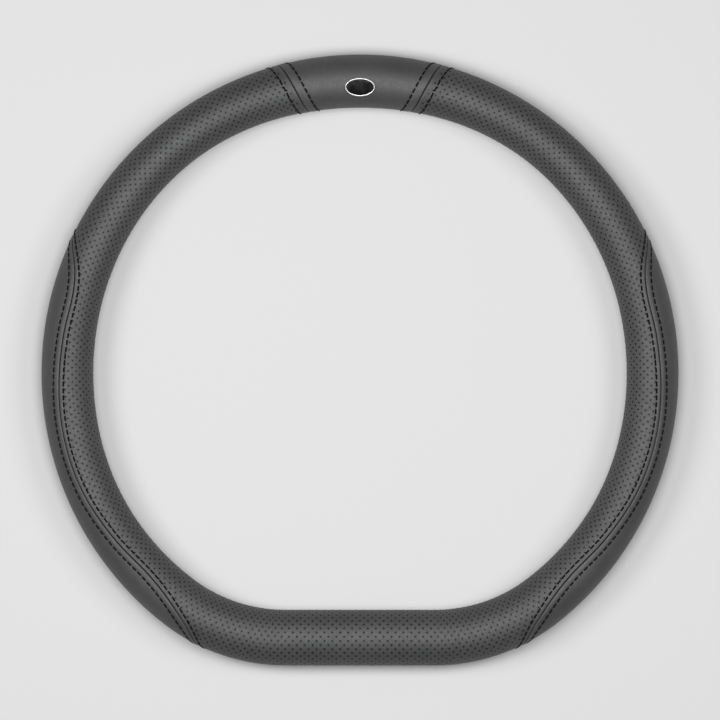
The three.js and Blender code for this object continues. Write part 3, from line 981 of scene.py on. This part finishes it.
def leather_material(name, stitches, roughness, mottle):
    """Matte charcoal leather, with painted shade in its holes and seams and along a groove under the
    stitches, and a painted highlight on the strip between each seam and its stitches.
    """
    material, tree, shader = new_material(name)
    row = stitches / MM
    skin = add_node(tree, "ShaderNodeGroup", node_tree=grain)
    skin.inputs["Mottle"].default_value = mottle
    seam = add_node(tree, "ShaderNodeAttribute", attribute_name="seam").outputs["Fac"]
    depth = add_node(tree, "ShaderNodeAttribute", attribute_name="depth").outputs["Fac"]
    from_row = calculate(tree, "ABSOLUTE", calculate(tree, "SUBTRACT", seam, row))
    groove = ramp_value(tree, from_row, 0.2, 1.2, 1.0, 0.0)
    tone = skin.outputs["Tone"]
    # painted shade: the leather is darkened along the groove under each row of stitches
    tone = calculate(tree, "MULTIPLY", tone, ramp_value(tree, groove, 0.0, 1.0, 1.0, 0.9))
    # painted highlight: the swollen strip between a seam and its stitches is lightened
    painted_strip_highlight = ramp_value(tree, seam, row - 1.2, row - 0.2, 1.1, 1.0)
    tone = calculate(tree, "MULTIPLY", tone, painted_strip_highlight)
    # painted shade: the leather is darkened close to each seam line, in the seam's valley
    tone = calculate(tree, "MULTIPLY", tone, ramp_value(tree, seam, 0.05, 0.5, 0.3, 1.0))
    # painted shade: darker as the leather goes down into the dimples round the holes and into the walls
    # of holes and seams
    tone = calculate(tree, "MULTIPLY", tone, ramp_value(tree, depth, 0.03, 0.09, 1.0, 0.45))
    tone = calculate(tree, "MULTIPLY", tone, ramp_value(tree, depth, 0.09, 0.4, 1.0, 0.05))
    tree.links.new(scaled(tree, LEATHER_COLOUR, tone), shader.inputs["Base Color"])
    rough = calculate(tree, "ADD", skin.outputs["Gloss"], roughness)
    tree.links.new(rough, shader.inputs["Roughness"])
    relief = calculate(tree, "MULTIPLY_ADD", groove, -0.12 * MM, skin.outputs["Height"])
    bump = add_node(tree, "ShaderNodeBump", {"Strength": 1.0, "Distance": 1.0, "Height": relief})
    tree.links.new(bump.outputs["Normal"], shader.inputs["Normal"])
    shader.inputs["Specular IOR Level"].default_value = 1.0
    return material


def thread_material():
    """Black bonded thread of twisted plies, with painted shade between the plies and painted light on
    their crowns.
    """
    material, tree, shader = new_material("black_thread")
    local = add_node(tree, "ShaderNodeAttribute", attribute_name="stitch").outputs["Vector"]
    split = add_node(tree, "ShaderNodeSeparateXYZ", {0: local})
    around = calculate(tree, "ARCTAN2", split.outputs["Z"], split.outputs["Y"])
    slant = calculate(tree, "MULTIPLY", around, 2.0)
    twist = calculate(tree, "MULTIPLY_ADD", split.outputs["X"], 5.5, slant)
    ply = calculate(tree, "SINE", twist)
    # painted shade and light: the colour follows the plies' height, darker between them and lighter on
    # top
    shade = ramp_value(tree, ply, -1.0, 1.0, 0.45, 1.25)
    tree.links.new(scaled(tree, THREAD_COLOUR, shade), shader.inputs["Base Color"])
    height = calculate(tree, "MULTIPLY", ply, 0.00006)
    bump = add_node(tree, "ShaderNodeBump", {"Strength": 1.0, "Distance": 1.0, "Height": height})
    tree.links.new(bump.outputs["Normal"], shader.inputs["Normal"])
    shader.inputs["Roughness"].default_value = 0.75
    shader.inputs["Specular IOR Level"].default_value = 0.15
    return material


def rubber_material():
    """Moulded black rubber, dull, with a fine cast texture."""
    material, tree, shader = new_material("black_rubber")
    where = add_node(tree, "ShaderNodeTexCoord").outputs["Object"]
    fine = add_node(tree, "ShaderNodeTexNoise", {"Vector": where, "Scale": 2200.0, "Detail": 3.0})
    dust = add_node(tree, "ShaderNodeTexNoise", {"Vector": where, "Scale": 60.0, "Detail": 4.0})
    shade = ramp_value(tree, dust.outputs["Fac"], 0.35, 0.7, 0.85, 1.25)
    tree.links.new(scaled(tree, RUBBER_COLOUR, shade), shader.inputs["Base Color"])
    dull = ramp_value(tree, dust.outputs["Fac"], 0.3, 0.7, 0.8, 0.9)
    tree.links.new(dull, shader.inputs["Roughness"])
    height = calculate(tree, "MULTIPLY", fine.outputs["Fac"], 0.00003)
    bump = add_node(tree, "ShaderNodeBump", {"Strength": 1.0, "Distance": 1.0, "Height": height})
    tree.links.new(bump.outputs["Normal"], shader.inputs["Normal"])
    return material


def metal_material():
    """Bright plated metal with faint hairlines and a softer handled patch."""
    material, tree, shader = new_material("bright_metal")
    where = add_node(tree, "ShaderNodeTexCoord").outputs["Object"]
    smear = add_node(tree, "ShaderNodeTexNoise", {"Vector": where, "Scale": 420.0, "Detail": 3.0})
    tree.links.new(
        ramp_value(tree, smear.outputs["Fac"], 0.3, 0.7, 0.24, 0.36), shader.inputs["Roughness"]
    )
    colour = mix_colour(tree, smear.outputs["Fac"], (0.72, 0.73, 0.75, 1), (0.8, 0.8, 0.81, 1))
    tree.links.new(colour, shader.inputs["Base Color"])
    shader.inputs["Metallic"].default_value = 1.0
    return material


def enamel_material():
    """Glossy black enamel with a faint ripple."""
    material, tree, shader = new_material("black_enamel")
    where = add_node(tree, "ShaderNodeTexCoord").outputs["Object"]
    ripple = add_node(tree, "ShaderNodeTexNoise", {"Vector": where, "Scale": 300.0, "Detail": 1.0})
    darker, lighter = (0.0035, 0.0035, 0.004, 1), (0.0055, 0.0055, 0.006, 1)
    colour = mix_colour(tree, ripple.outputs["Fac"], darker, lighter)
    tree.links.new(colour, shader.inputs["Base Color"])
    tree.links.new(
        ramp_value(tree, ripple.outputs["Fac"], 0.3, 0.7, 0.1, 0.16), shader.inputs["Roughness"]
    )
    shader.inputs["Coat Weight"].default_value = 0.4
    shader.inputs["Coat Roughness"].default_value = 0.05
    return material


smooth_leather = leather_material("smooth_leather", GRIP_OUTER_ROW, 0.56, 0.00004)
smooth_top_leather = leather_material("smooth_top_leather", TOP_ROW, 0.56, 0.00004)
perforated_leather = leather_material("perforated_leather", GRIP_INNER_ROW, 0.57, 0.00011)
thread_finish = thread_material()


def dress(piece, material, slot, *nodes):
    """Gives a piece its finish, hides the nodes it stands for and attaches it to the root body."""
    piece.data.materials.clear()
    piece.data.materials.append(material)
    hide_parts(*nodes)
    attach(piece, "root")


# A piece's name may end in a number, where its node's own object has the name. It is cut off
for piece, material, slot in (
    (rubber, rubber_material(), "rubber"),
    (perforated, perforated_leather, "perforated_leather"),
    (top_panel, smooth_top_leather, "smooth_leather"),
    (right_grip, smooth_leather, "smooth_leather"),
    (left_grip, smooth_leather, "smooth_leather"),
    (tray, metal_material(), "badge_metal"),
    (enamel, enamel_material(), "badge_enamel"),
    *((row, thread_finish, "thread") for row in threads.values()),
):
    node_name = piece.name.split(".")[0]
    piece.name = f"{node_name}_piece"
    dress(piece, material, slot, node_name)


# Stage, light and camera


def floor():
    """A pale floor that the camera sees bright, and that throws only a little light back."""
    bpy.ops.mesh.primitive_plane_add(size=8, location=(0, 0, -0.05 * MM))
    ground = start("floor")
    material, tree, shader = new_material("pale_floor")
    path = add_node(tree, "ShaderNodeLightPath")
    seen = calculate(tree, "MAXIMUM", path.outputs["Is Camera Ray"], path.outputs["Is Glossy Ray"])
    colour = mix_colour(tree, seen, (0.08, 0.08, 0.08, 1), (0.7, 0.7, 0.7, 1))
    tree.links.new(colour, shader.inputs["Base Color"])
    shader.inputs["Roughness"].default_value = 0.9
    shader.inputs["Specular IOR Level"].default_value = 0.1
    ground.data.materials.append(material)


def lamp(name, place, size, power):
    data = bpy.data.lights.new(name, "AREA")
    data.shape = "DISK"
    data.size = size
    data.energy = power
    light = bpy.data.objects.new(name, data)
    light.location = place
    light.rotation_euler = (-Vector(place)).to_track_quat("-Z", "Y").to_euler()
    light.visible_camera = False
    bpy.context.scene.collection.objects.link(light)


floor()
lamp("soft_front", (0, 0, 1.8), 0.95, 21)
lamp("soft_left", (-1.05, 0.1, 1.6), 0.8, 12)
lamp("soft_right", (1.05, 0.1, 1.6), 0.8, 8)

world = bpy.context.scene.world or bpy.data.worlds.new("studio")
bpy.context.scene.world = world
world.use_nodes = True
background = world.node_tree.nodes["Background"]
background.inputs["Color"].default_value = (1, 1, 1, 1)
background.inputs["Strength"].default_value = 0.06

camera_data = bpy.data.cameras.new("camera")
camera_data.sensor_width = SENSOR_WIDTH
camera_data.lens = SENSOR_WIDTH * CAMERA_HEIGHT / VIEW_WIDTH
camera = bpy.data.objects.new("camera", camera_data)
camera.location = (0, 0, CAMERA_HEIGHT + TUBE_RADIUS)
bpy.context.scene.collection.objects.link(camera)
bpy.context.scene.camera = camera
bpy.context.scene.view_settings.view_transform = "Standard"
